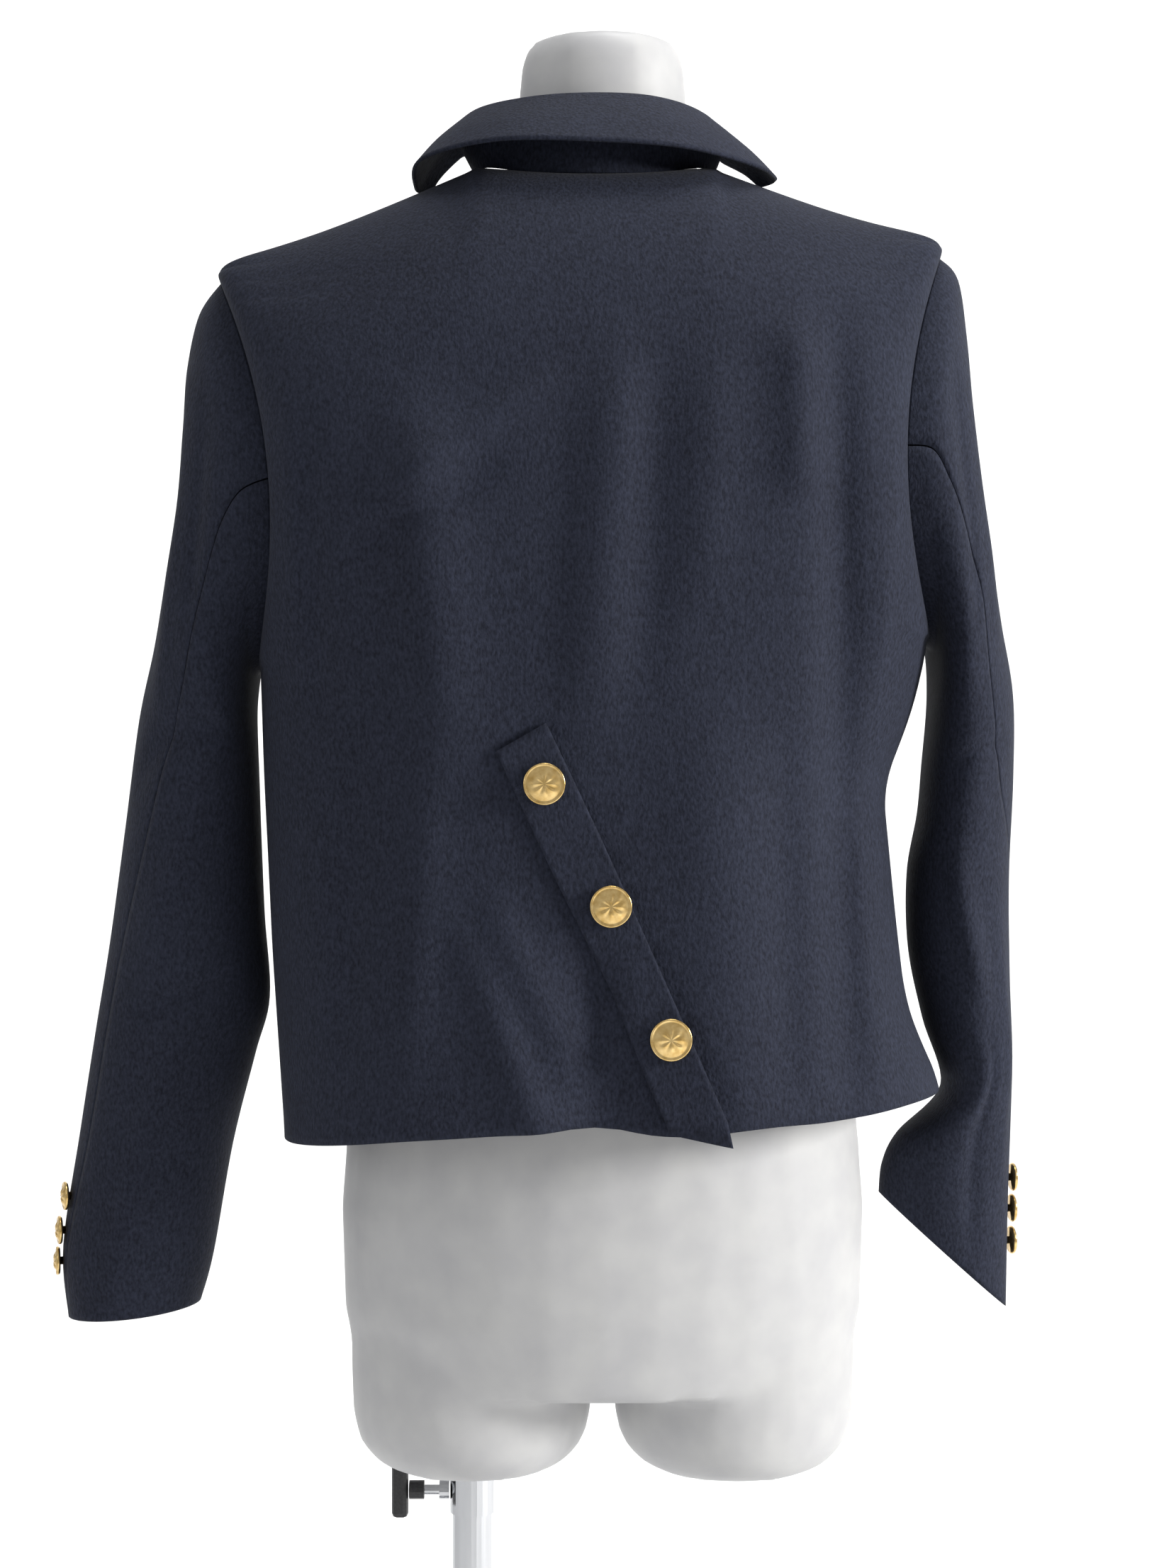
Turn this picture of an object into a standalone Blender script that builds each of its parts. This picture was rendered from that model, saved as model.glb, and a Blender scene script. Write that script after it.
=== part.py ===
"""Cropped blazer hanging askew on a limbless dress form, piece by piece, in metres, +Z up.

+X is the wearer's right, +Y is the garment's front. The origin is on the floor, under the form.
Named sizes are in millimetres, and points become metres when a mesh is made.
"""

import math

import bmesh
import bpy
from mathutils import Vector

MM = 0.001
CLOTH = 1.6
COLLAR_CLOTH = 2.0
SEAM = 0.25
MIDDLE_X = -5.0
NECK_HALF = 75.0
NECK_Z = 1222.0
NAPE_Z = 1209.0
NAPE_DEPTH = 62.0
FRONT_HEM_Z = 655.0
SECTION_POWER = 2.7
RIDGE_SHARE = 0.22
RIDGE_POWER = 2.2
EDGE_POWER = 6.0
ARMHOLE_BOW = 24.0
ARMHOLE_HALF_DEPTH = 75.0
ARMHOLE_LEAN = 0.45
LIE_GAP = 1.4
BODY_ROWS = 28
ROW_POWER = 1.6

# One row a side: shoulder tip, underarm point, and the side's half widths by height below it
SIDES = {
    "left": {
        "sign": -1,
        "tip_x": 230.0,
        "tip_z": 1158.0,
        "under_x": 205.0,
        "under_z": 925.0,
        "widths": ((925, 205), (860, 203), (757, 198), (645, 190)),
    },
    "right": {
        "sign": 1,
        "tip_x": 203.0,
        "tip_z": 1173.0,
        "under_x": 195.0,
        "under_z": 940.0,
        "widths": ((940, 195), (900, 186), (853, 168), (771, 176), (728, 181), (707, 188), (675, 203)),
    },
}
# Hem height by x along the back
HEM = ((-200, 645), (-115, 656), (-30, 663), (-7, 666), (34, 659), (75, 665), (117, 666), (169, 674), (205, 675))
# Depth of the garment behind and before its middle, by height
BACK_DEPTH = ((1210, 112), (1050, 128), (900, 126), (800, 121), (650, 138))
FRONT_DEPTH = ((1210, 92), (1050, 122), (900, 116), (800, 112), (650, 130))
# Soft vertical folds of the back: x at the top and bottom, height span, width and rise, in mm
FOLDS = (
    {"top_x": 8, "bottom_x": -8, "high": 1090, "low": 900, "width": 14, "rise": 5},
    {"top_x": 132, "bottom_x": 138, "high": 1090, "low": 690, "width": 13, "rise": -6},
    {"top_x": 110, "bottom_x": 112, "high": 1110, "low": 1020, "width": 14, "rise": 4},
    {"top_x": 60, "bottom_x": 75, "high": 880, "low": 640, "width": 30, "rise": 5},
    {"top_x": -105, "bottom_x": -90, "high": 1060, "low": 880, "width": 22, "rise": 5},
    {"top_x": -70, "bottom_x": -30, "high": 780, "low": 640, "width": 16, "rise": 5},
    {"top_x": -10, "bottom_x": 4, "high": 760, "low": 640, "width": 16, "rise": -5},
)
# Sleeve rings: outer point, inner point, middle y, half depth, and the back seam's angle in degrees
LEFT_SLEEVE = (
    {"xo": -230, "zo": 1158, "xi": -205, "zi": 925, "y": 0, "half": 75, "seam": -95},
    {"xo": -243, "zo": 1139, "xi": -210, "zi": 921, "y": 0, "half": 76, "seam": -93},
    {"xo": -250, "zo": 1107, "xi": -211, "zi": 914, "y": 0, "half": 74, "seam": -91},
    {"xo": -252, "zo": 1072, "xi": -211, "zi": 906, "y": 0, "half": 71, "seam": -89},
    {"xo": -255, "zo": 1030, "xi": -211, "zi": 895, "y": 0, "half": 68, "seam": -86},
    {"xo": -262, "zo": 986, "xi": -210, "zi": 878, "y": 0, "half": 65, "seam": -82},
    {"xo": -270, "zo": 940, "xi": -209, "zi": 855, "y": 2, "half": 61, "seam": -77},
    {"xo": -280, "zo": 895, "xi": -208, "zi": 825, "y": 4, "half": 58, "seam": -70},
    {"xo": -289, "zo": 830, "xi": -206, "zi": 775, "y": 6, "half": 56, "seam": -56},
    {"xo": -299, "zo": 760, "xi": -203, "zi": 725, "y": 8, "half": 53, "seam": -42},
    {"xo": -308, "zo": 707, "xi": -212, "zi": 690, "y": 10, "half": 50, "seam": -40},
    {"xo": -318, "zo": 645, "xi": -226, "zi": 635, "y": 12, "half": 47, "seam": -39},
    {"xo": -329, "zo": 574, "xi": -238, "zi": 568, "y": 14, "half": 43, "seam": -30},
    {"xo": -326, "zo": 531, "xi": -246, "zi": 539, "y": 15, "half": 40, "seam": -22},
)
RIGHT_SLEEVE = (
    {"xo": 203, "zo": 1173, "xi": 195, "zi": 940, "y": 0, "half": 75, "seam": -93},
    {"xo": 214, "zo": 1160, "xi": 200, "zi": 936, "y": 0, "half": 76, "seam": -90},
    {"xo": 219, "zo": 1125, "xi": 201, "zi": 929, "y": 0, "half": 74, "seam": -87},
    {"xo": 222, "zo": 1085, "xi": 201, "zi": 920, "y": 0, "half": 71, "seam": -82},
    {"xo": 227, "zo": 1040, "xi": 200, "zi": 907, "y": 1, "half": 68, "seam": -76},
    {"xo": 233, "zo": 1000, "xi": 198, "zi": 888, "y": 2, "half": 65, "seam": -70},
    {"xo": 240, "zo": 955, "xi": 195, "zi": 865, "y": 3, "half": 61, "seam": -69},
    {"xo": 248, "zo": 910, "xi": 192, "zi": 835, "y": 5, "half": 58, "seam": -68},
    {"xo": 249, "zo": 860, "xi": 186, "zi": 800, "y": 8, "half": 55, "seam": -54},
    {"xo": 247, "zo": 800, "xi": 187, "zi": 755, "y": 11, "half": 52, "seam": -20},
    {"xo": 248, "zo": 740, "xi": 196, "zi": 712, "y": 14, "half": 48, "seam": -10},
    {"xo": 250, "zo": 690, "xi": 208, "zi": 668, "y": 17, "half": 45, "seam": -8},
    {"xo": 250, "zo": 645, "xi": 181, "zi": 640, "y": 20, "half": 40, "seam": -8},
    {"xo": 249, "zo": 600, "xi": 172, "zi": 622, "y": 22, "half": 34, "seam": -8},
    {"xo": 248, "zo": 534, "xi": 170, "zi": 604, "y": 23, "half": 28, "seam": -8},
)
FRONT_SEAM_ANGLE = 125.0
# Collar stations round the neck: base, roll and fall points
COLLAR = (
    {"base": (-72, 16, 1227), "roll": (-84, 18, 1240), "fall": (-106, 14, 1217)},
    {"base": (-78, -2, 1227), "roll": (-88, -4, 1246), "fall": (-112, -6, 1216)},
    {"base": (-68, -28, 1224), "roll": (-74, -30, 1254), "fall": (-106, -52, 1222)},
    {"base": (-42, -54, 1215), "roll": (-42, -50, 1256), "fall": (-62, -88, 1224)},
    {"base": (-5, -66, 1212), "roll": (-5, -58, 1256), "fall": (-5, -96, 1222)},
    {"base": (32, -54, 1215), "roll": (30, -50, 1256), "fall": (46, -88, 1220)},
    {"base": (58, -28, 1224), "roll": (58, -30, 1252), "fall": (88, -54, 1218)},
    {"base": (68, -2, 1227), "roll": (74, -4, 1242), "fall": (104, -8, 1221)},
    {"base": (62, 16, 1227), "roll": (70, 18, 1238), "fall": (96, 14, 1222)},
)
# Vent strap: height, left edge and right edge
STRAP = (
    {"z_left": 873, "left": -60, "z_right": 889, "right": -32},
    {"z_left": 804, "left": -28, "z_right": 826, "right": -2},
    {"z_left": 738, "left": 5, "z_right": 761, "right": 27},
    {"z_left": 690, "left": 24, "z_right": 705, "right": 52},
    {"z_left": 668, "left": 34, "z_right": 669, "right": 68},
)
BACK_BUTTONS = ((-33, 855), (4, 787), (37, 714))
FRONT_BUTTONS = ((-5, 960), (-5, 870), (-5, 780))
BUTTON_RADIUS = 11.75
SLEEVE_BUTTON_RADIUS = 8.5
# Dress form sections: height, half width, half depth and the section's middle y
FORM = (
    (500, 148, 88, 0), (540, 156, 100, 0), (600, 158, 106, 0), (680, 152, 104, 0), (760, 134, 92, 0),
    (840, 124, 86, 0), (920, 138, 92, 0), (1000, 154, 98, 0), (1080, 162, 92, 0), (1140, 172, 72, 0),
    (1170, 176, 52, 0), (1180, 173, 44, 0), (1190, 149.5, 42, 0), (1200, 123, 40, 0), (1210, 95, 38, 0),
    (1216, 74, 40, 0), (1224, 60, 43, 0), (1232, 53, 44, 0), (1290, 49, 44, 0), (1302, 44, 39, 0),
)
STUB_X = 79.0
STUB_FOOT_Z = 445.0
POLE_X = -79.0
POLE_RADIUS = 12.0
CLAMP_RADIUS = 13.5
CLAMP_BORE = 12.4
CLAMP_LOW = 414.0
SCREW_Z = 427.0
BASE_RADIUS = 190.0
BASE_HEIGHT = 12.0
CONTACT = 0.3


def material(name, colour, roughness, metallic):
    made = bpy.data.materials.new(name)
    made.use_nodes = True
    shader = made.node_tree.nodes["Principled BSDF"]
    shader.inputs["Base Color"].default_value = (*colour, 1.0)
    shader.inputs["Roughness"].default_value = roughness
    shader.inputs["Metallic"].default_value = metallic
    return made


def lookup(table, key):
    """Straight-line reading of a table of (key, value) rows, in either order."""
    rows = sorted(table)
    if key <= rows[0][0]:
        return rows[0][1]
    for (low, first), (high, second) in zip(rows, rows[1:]):
        if key <= high:
            return first + (second - first) * (key - low) / (high - low)
    return rows[-1][1]


def smooth(value):
    value = min(1.0, max(0.0, value))
    return value * value * (3.0 - 2.0 * value)


def armhole_angle(side, z):
    middle = (side["tip_z"] + side["under_z"]) / 2
    half = (side["tip_z"] - side["under_z"]) / 2
    return math.acos(min(1.0, max(-1.0, (z - middle) / half)))


def edge(side, z):
    """Signed x and unsigned y of a body panel's side edge: the armhole, then the side seam."""
    if z < side["under_z"]:
        return side["sign"] * lookup(side["widths"], z), 0.0
    angle = armhole_angle(side, z)
    share = (side["tip_z"] - min(z, side["tip_z"])) / (side["tip_z"] - side["under_z"])
    x = side["tip_x"] + (side["under_x"] - side["tip_x"]) * share - ARMHOLE_BOW * math.sin(angle) ** 2
    return side["sign"] * x, ARMHOLE_HALF_DEPTH * math.sin(angle)


def top_z(side, s, front):
    reach = abs(side["sign"] * side["tip_x"] - MIDDLE_X) * s
    if reach >= NECK_HALF:
        run = abs(side["sign"] * side["tip_x"] - MIDDLE_X) - NECK_HALF
        return NECK_Z + (side["tip_z"] - NECK_Z) * (reach - NECK_HALF) / run
    if front:
        return NECK_Z
    return NAPE_Z + (NECK_Z - NAPE_Z) * (reach / NECK_HALF) ** 2.2


def hem_z(x, front):
    if front:
        return FRONT_HEM_Z + (lookup(HEM, x) - FRONT_HEM_Z) * smooth(abs(x - MIDDLE_X) / 190.0)
    return lookup(HEM, x)


def fold_rise(x, z):
    total = 0.0
    for fold in FOLDS:
        share = (fold["high"] - z) / (fold["high"] - fold["low"])
        middle = fold["top_x"] + (fold["bottom_x"] - fold["top_x"]) * share
        window = smooth((share + 0.2) / 0.4) * smooth((1.2 - share) / 0.4)
        if fold["low"] <= 640:
            window = smooth((share + 0.2) / 0.4)
        total += fold["rise"] * window * math.exp(-(((x - middle) / fold["width"]) ** 2))
    return total


def depth(side, s, z, w, front):
    """Unsigned distance of the cloth's outer face from y = 0."""
    x_edge, y_edge = edge(side, z)
    reach = abs(side["sign"] * side["tip_x"] - MIDDLE_X) * abs(s)
    rim = 0.0
    if reach < NECK_HALF and not front:
        rim = NAPE_DEPTH * math.sqrt(1.0 - (reach / NECK_HALF) ** 2)
    middle = lookup(FRONT_DEPTH if front else BACK_DEPTH, z)
    bend = (1.0 - min(1.0, abs(s)) ** SECTION_POWER) ** (1.0 / SECTION_POWER)
    full = y_edge + (middle - y_edge) * bend
    grow = 1.0
    if w < RIDGE_SHARE:
        grow = (1.0 - (1.0 - w / RIDGE_SHARE) ** RIDGE_POWER) ** (1.0 / RIDGE_POWER)
    hold = min(1.0, abs(s)) ** EDGE_POWER
    full -= (1.0 - hold) * (1.0 - grow) * (full - rim)
    if not front:
        x = MIDDLE_X + s * (x_edge - MIDDLE_X)
        full += fold_rise(x, z) * grow * (1.0 - hold)
    return full


def cloth_point(side, s, w, front):
    """Outer point of a body panel at share s from the middle to the side and share w from top to hem."""
    top = top_z(side, abs(s), front)
    guess = MIDDLE_X + s * (edge(side, side["under_z"] - 200.0)[0] - MIDDLE_X)
    z = top + (hem_z(guess, front) - top) * w
    x_edge = edge(side, min(z, side["tip_z"]))[0]
    x = MIDDLE_X + s * (x_edge - MIDDLE_X)
    y = depth(side, s, z, w, front)
    return Vector((x, y if front else -y, z))


def cloth_at(x, z, front):
    """Outer point of the back or front at a given x and height."""
    side = SIDES["right"] if x > MIDDLE_X else SIDES["left"]
    x_edge = edge(side, min(z, side["tip_z"]))[0]
    s = (x - MIDDLE_X) / (x_edge - MIDDLE_X)
    top = top_z(side, abs(s), front)
    w = max(0.0, (top - z) / (top - hem_z(x, front)))
    y = depth(side, s, z, w, front)
    return Vector((x, y if front else -y, z))


def grid_normals(rows, inside):
    """Unit directions into the cloth at each point of a grid, towards the point that inside gives."""
    found = []
    for i, row in enumerate(rows):
        line = []
        for j, point in enumerate(row):
            along = row[min(j + 1, len(row) - 1)] - row[max(j - 1, 0)]
            down = rows[min(i + 1, len(rows) - 1)][j] - rows[max(i - 1, 0)][j]
            normal = along.cross(down).normalized()
            if normal.dot(inside(point) - point) < 0:
                normal = -normal
            line.append(normal)
        found.append(line)
    return found


def torso_inside(point):
    return Vector((MIDDLE_X, 0.0, min(point.z, 1150.0) - 40.0))


def finish_mesh(name, bm, look):
    bmesh.ops.triangulate(bm, faces=bm.faces)
    bmesh.ops.recalc_face_normals(bm, faces=bm.faces)
    mesh = bpy.data.meshes.new(name)
    bm.to_mesh(mesh)
    bm.free()
    mesh.materials.append(look)
    mesh.shade_smooth()
    made = bpy.data.objects.new(name, mesh)
    bpy.context.scene.collection.objects.link(made)
    return made


def wall(name, rows, directions, thickness, look):
    """A closed wall between a grid of outer points and the same grid moved along its directions."""
    bm = bmesh.new()
    outer = [[bm.verts.new(p * MM) for p in row] for row in rows]
    inner = []
    for row, line in zip(rows, directions):
        inner.append([bm.verts.new((p + d * thickness) * MM) for p, d in zip(row, line)])
    last_row = len(rows) - 1
    last_column = len(rows[0]) - 1
    for i in range(last_row):
        for j in range(last_column):
            bm.faces.new((outer[i][j], outer[i][j + 1], outer[i + 1][j + 1], outer[i + 1][j]))
            bm.faces.new((inner[i][j], inner[i + 1][j], inner[i + 1][j + 1], inner[i][j + 1]))
        for j in (0, last_column):
            bm.faces.new((outer[i][j], outer[i + 1][j], inner[i + 1][j], inner[i][j]))
    for j in range(last_column):
        for i in (0, last_row):
            bm.faces.new((outer[i][j], inner[i][j], inner[i][j + 1], outer[i][j + 1]))
    return finish_mesh(name, bm, look)


def section_share(angle):
    return math.copysign(abs(math.sin(angle)) ** (2.0 / SECTION_POWER), angle)


def seam_direction(side, point, normal):
    """Direction into the cloth on a side edge, the same for the two panels that meet there."""
    if point.z < side["under_z"] + 1.0:
        return Vector((-side["sign"], 0, 0))
    inward = max(ARMHOLE_LEAN, abs(normal.x))
    return Vector((-side["sign"] * inward, normal.y, normal.z)).normalized()


def back_panel(look):
    rows = []
    columns = 13
    for i in range(BODY_ROWS + 1):
        w = (i / BODY_ROWS) ** ROW_POWER
        row = []
        for j in range(-columns, columns + 1):
            side = SIDES["right"] if j > 0 else SIDES["left"]
            angle = abs(j) / columns * math.pi / 2
            point = cloth_point(side, section_share(angle), w, False)
            if abs(j) == columns:
                point.x -= side["sign"] * SEAM
            point.y -= SEAM
            row.append(point)
        rows.append(row)
    directions = grid_normals(rows, torso_inside)
    directions[0] = [Vector((0, 0, -1)) for _ in rows[0]]
    for j in (0, 2 * columns):
        side = SIDES["left"] if j == 0 else SIDES["right"]
        for i in range(len(rows)):
            directions[i][j] = seam_direction(side, rows[i][j], directions[i][j])
    wall("back", rows, directions, CLOTH, look)


def roll_line_x(side, z):
    share = min(1.0, max(0.0, (z - 1000.0) / (NECK_Z - 1000.0)))
    return MIDDLE_X + side["sign"] * (-20.0 + (NECK_HALF + 20.0) * share)


def front_panel(key, look):
    side = SIDES[key]
    rows = []
    columns = 12
    for i in range(BODY_ROWS + 1):
        w = (i / BODY_ROWS) ** ROW_POWER
        z = NECK_Z + (FRONT_HEM_Z - NECK_Z) * w
        reach = (roll_line_x(side, z) - MIDDLE_X) / (edge(side, min(z, side["tip_z"]))[0] - MIDDLE_X)
        inner_angle = math.copysign(math.asin(abs(reach) ** (SECTION_POWER / 2)), reach)
        row = []
        for j in range(columns + 1):
            angle = math.pi / 2 + (inner_angle - math.pi / 2) * j / columns
            share = section_share(angle)
            point = cloth_point(side, abs(share), w, True)
            if share < 0:
                point.x = 2 * MIDDLE_X - point.x
            if j == 0:
                point.x -= side["sign"] * SEAM
            if key == "left":
                point.y -= 2.8 * smooth((point.x + 65.0) / 35.0)
            point.y += SEAM
            row.append(point)
        rows.append(row)
    directions = grid_normals(rows, torso_inside)
    directions[0] = [Vector((0, 0, -1)) for _ in rows[0]]
    for i in range(len(rows)):
        directions[i][0] = seam_direction(side, rows[i][0], directions[i][0])
    wall("front_" + key, rows, directions, CLOTH, look)


def lapel(key, look):
    """Lapel folded back from the roll line, lying on the front."""
    side = SIDES[key]
    rows = []
    for i in range(9):
        z = 1166.0 - 114.0 * i / 8
        width = 10.0 + 52.0 * (1.0 - i / 8) ** 0.8
        row = []
        for j in range(6):
            x = roll_line_x(side, z) + side["sign"] * (3.0 + width * j / 5)
            point = cloth_at(x, z + 8.0 * j / 5, True)
            point.y += LIE_GAP + CLOTH + SEAM + 1.0
            row.append(point)
        rows.append(row)
    wall("lapel_" + key, rows, grid_normals(rows, torso_inside), CLOTH, look)


def ring_point(ring, angle, bow, sign):
    """Point and inward direction on a sleeve ring, angle 0 at its outer side."""
    outer = Vector((ring["xo"], ring["y"], ring["zo"]))
    inner = Vector((ring["xi"], ring["y"], ring["zi"]))
    reach = (outer - inner) / 2
    across = Vector((0, ring["half"], 0))
    point = (outer + inner) / 2 + reach * math.cos(angle) + across * math.sin(angle)
    point.x -= sign * bow * math.sin(angle) ** 2
    slope = reach.normalized() * (math.cos(angle) / reach.length)
    slope += Vector((0, math.sin(angle) / ring["half"], 0))
    return point, -slope.normalized()


def between(table, k):
    first = table[int(k)]
    second = table[min(int(k) + 1, len(table) - 1)]
    share = k - int(k)
    return {key: first[key] + (second[key] - first[key]) * share for key in first}


def sleeve_piece(name, table, sign, upper, look):
    rows = []
    directions = []
    segments = 13 if upper else 9
    for k, ring in enumerate(table):
        bow = ARMHOLE_BOW * max(0.0, 1.0 - k / 5.0) ** 1.5
        part = math.radians(0.25)
        seam = math.radians(ring["seam"])
        front = math.radians(FRONT_SEAM_ANGLE)
        start, end = (seam + part, front - part) if upper else (front + part, seam + 2 * math.pi - part)
        row = []
        line = []
        for j in range(segments + 1):
            point, inward = ring_point(ring, start + (end - start) * j / segments, bow, sign)
            point.x += sign * SEAM
            row.append(point)
            line.append(inward)
        rows.append(row)
        directions.append(line)
    wall(name, rows, directions, CLOTH, look)


def collar(look):
    rows = []
    for station in COLLAR:
        base = Vector(station["base"])
        roll = Vector(station["roll"])
        fall = Vector(station["fall"])
        out = (fall - roll)
        out.z = 0
        out.normalize()
        row = [base, base.lerp(roll, 0.55), roll - out * 4.0 - Vector((0, 0, 5))]
        row += [roll, roll + out * 5.0 - Vector((0, 0, 3))]
        row += [roll.lerp(fall, 0.55) + out * 3.0, fall]
        rows.append(row)
    directions = []
    for i, row in enumerate(rows):
        line = []
        for j, point in enumerate(row):
            along = rows[min(i + 1, len(rows) - 1)][j] - rows[max(i - 1, 0)][j]
            section = row[min(j + 1, len(row) - 1)] - row[max(j - 1, 0)]
            line.append(section.cross(along).normalized())
        directions.append(line)
    if directions[4][3].z < 0:
        directions = [[-d for d in line] for line in directions]
    wall("collar", rows, directions, COLLAR_CLOTH, look)


def strap(look):
    rows = []
    steps = 5
    for first, second in zip(STRAP, STRAP[1:] + (None,)):
        for k in range(steps if second else 1):
            share = k / steps
            step = {key: first[key] + ((second or first)[key] - first[key]) * share for key in first}
            row = []
            for j in range(5):
                across = j / 4
                x = step["left"] + (step["right"] - step["left"]) * across
                z = step["z_left"] + (step["z_right"] - step["z_left"]) * across
                point = cloth_at(x, z, False)
                point.y -= SEAM + LIE_GAP + CLOTH
                row.append(point)
            rows.append(row)
    wall("vent_strap", rows, [[Vector((0, 1, 0)) for _ in row] for row in rows], CLOTH, look)


def turned(name, profile, segments, place, axis, look):
    """A closed turned piece: profile of (radius, height) from its foot to its top, both on the axis."""
    bm = bmesh.new()
    aim = Vector(axis).to_track_quat("Z", "Y")
    rings = []
    for radius, height in profile:
        ring = []
        for k in range(segments if radius > 0 else 1):
            angle = 2 * math.pi * k / segments
            local = Vector((radius * math.cos(angle), radius * math.sin(angle), height))
            ring.append(bm.verts.new((Vector(place) + aim @ local) * MM))
        rings.append(ring)
    for low, high in zip(rings, rings[1:]):
        for k in range(segments):
            after = (k + 1) % segments
            corners = [low[k % len(low)], low[after % len(low)], high[after % len(high)], high[k % len(high)]]
            face = []
            for corner in corners:
                if corner not in face:
                    face.append(corner)
            bm.faces.new(face)
    return finish_mesh(name, bm, look)


def button(name, radius, place, axis, look):
    shank = radius * 0.28
    profile = (
        (0, 0), (shank, 0), (shank, 2.0), (radius * 0.9, 2.2), (radius, 3.0),
        (radius, 3.8), (radius * 0.9, 4.6), (radius * 0.6, 5.6), (0, 6.0),
    )
    turned(name, profile, 14, place, axis, look)


def body_buttons(look):
    for number, (x, z) in enumerate(BACK_BUTTONS, 1):
        place = cloth_at(x, z, False)
        place.y -= SEAM + LIE_GAP + CLOTH + 0.45
        button("back_button_%d" % number, BUTTON_RADIUS, place, (0, -1, 0), look)
    for number, (x, z) in enumerate(FRONT_BUTTONS, 1):
        place = cloth_at(x, z, True)
        place.y += SEAM + 0.45
        button("front_button_%d" % number, BUTTON_RADIUS, place, (0, 1, 0), look)


def sleeve_buttons(key, table, sign, stations, look):
    for number, k in enumerate(stations, 1):
        ring = between(table, k)
        point, inward = ring_point(ring, math.radians(ring["seam"] + 14.0), 0.0, sign)
        point.x += sign * SEAM
        aim = Vector((-inward.x, -inward.y, 0.0)).normalized()
        button("sleeve_%s_button_%d" % (key, number), SLEEVE_BUTTON_RADIUS, point + aim * 0.4, aim, look)


def form(look):
    bm = bmesh.new()
    count = 32
    rings = []
    for z, wide, deep, y in FORM:
        ring = []
        for k in range(count):
            angle = 2 * math.pi * k / count
            ring.append(bm.verts.new(Vector((wide * math.cos(angle), y + deep * math.sin(angle), z)) * MM))
        rings.append(ring)
    for low, high in zip(rings, rings[1:]):
        for k in range(count):
            after = (k + 1) % count
            bm.faces.new((low[k], low[after], high[after], high[k]))
    bm.faces.new(rings[0])
    bm.faces.new(rings[-1])
    torso = finish_mesh("form_torso", bm, look)
    for sign in (-1, 1):
        profile = (
            (0, 0), (50, 0), (60, 6), (68, 16), (72, 32), (73, 60), (73, 90), (60, 110), (0, 114),
        )
        stub = turned("stub_cutter_%d" % sign, profile, 28, (sign * STUB_X, 0, STUB_FOOT_Z), (0, 0, 1), look)
        stub.hide_render = True
        stub.display_type = "WIRE"
        join = torso.modifiers.new("stub", "BOOLEAN")
        join.operation = "UNION"
        join.solver = "EXACT"
        join.object = stub


def stand(metal, black):
    foot = BASE_HEIGHT + CONTACT
    head = STUB_FOOT_Z - CONTACT
    base = ((0, 0), (BASE_RADIUS, 0), (BASE_RADIUS, 8), (BASE_RADIUS - 6, BASE_HEIGHT), (0, BASE_HEIGHT))
    turned("stand_base", base, 48, (0, 0, 0), (0, 0, 1), metal)
    pole = ((0, 0), (POLE_RADIUS, 0), (POLE_RADIUS, head - foot), (0, head - foot))
    turned("stand_pole", pole, 24, (POLE_X, 0, foot), (0, 0, 1), metal)
    bm = bmesh.new()
    rings = []
    for radius, z in ((CLAMP_BORE, CLAMP_LOW), (CLAMP_RADIUS, CLAMP_LOW), (CLAMP_RADIUS, head), (CLAMP_BORE, head)):
        ring = []
        for k in range(24):
            angle = 2 * math.pi * k / 24
            place = Vector((POLE_X + radius * math.cos(angle), radius * math.sin(angle), z))
            ring.append(bm.verts.new(place * MM))
        rings.append(ring)
    for low, high in zip(rings, rings[1:] + rings[:1]):
        for k in range(24):
            after = (k + 1) % 24
            bm.faces.new((low[k], low[after], high[after], high[k]))
    finish_mesh("stand_clamp", bm, metal)
    side = POLE_X - CLAMP_RADIUS - CONTACT
    screw = ((0, 0), (5.7, 0), (5.7, 6), (3, 6), (3, 15), (0, 15))
    turned("stand_screw", screw, 16, (side, 0, SCREW_Z), (-1, 0, 0), metal)
    knob = ((0, 0), (5.6, 0), (5.6, 9), (0, 9))
    turned("stand_knob", knob, 16, (side - 15 - CONTACT, 0, SCREW_Z), (-1, 0, 0), black)
    bpy.ops.mesh.primitive_cube_add(size=1, location=((side - 30) * MM, 0, SCREW_Z * MM))
    wing = bpy.context.object
    wing.name = "stand_wing"
    wing.dimensions = (10 * MM, 7 * MM, 34 * MM)
    bpy.ops.object.transform_apply(location=False, rotation=False, scale=True)
    bevel = wing.modifiers.new("round", "BEVEL")
    bevel.width = 3 * MM
    bevel.segments = 2
    wing.data.materials.append(black)


def main():
    for old in list(bpy.data.objects):
        bpy.data.objects.remove(old)
    wool = material("wool_crepe", (0.012, 0.014, 0.022), 0.85, 0.0)
    gold = material("gilt_metal", (0.75, 0.5, 0.18), 0.3, 1.0)
    plaster = material("form_white", (0.82, 0.82, 0.82), 0.55, 0.0)
    chrome = material("chrome", (0.75, 0.75, 0.77), 0.15, 1.0)
    black = material("black_plastic", (0.02, 0.02, 0.02), 0.45, 0.0)
    back_panel(wool)
    for key in SIDES:
        front_panel(key, wool)
        lapel(key, wool)
    for key, table in (("left", LEFT_SLEEVE), ("right", RIGHT_SLEEVE)):
        sign = SIDES[key]["sign"]
        sleeve_piece("sleeve_%s_upper" % key, table, sign, True, wool)
        sleeve_piece("sleeve_%s_under" % key, table, sign, False, wool)
    collar(wool)
    strap(wool)
    body_buttons(gold)
    sleeve_buttons("left", LEFT_SLEEVE, -1, (11.55, 11.85, 12.2), gold)
    sleeve_buttons("right", RIGHT_SLEEVE, 1, (12.72, 13.1, 13.4), gold)
    form(plaster)
    stand(chrome, black)


main()
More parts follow.
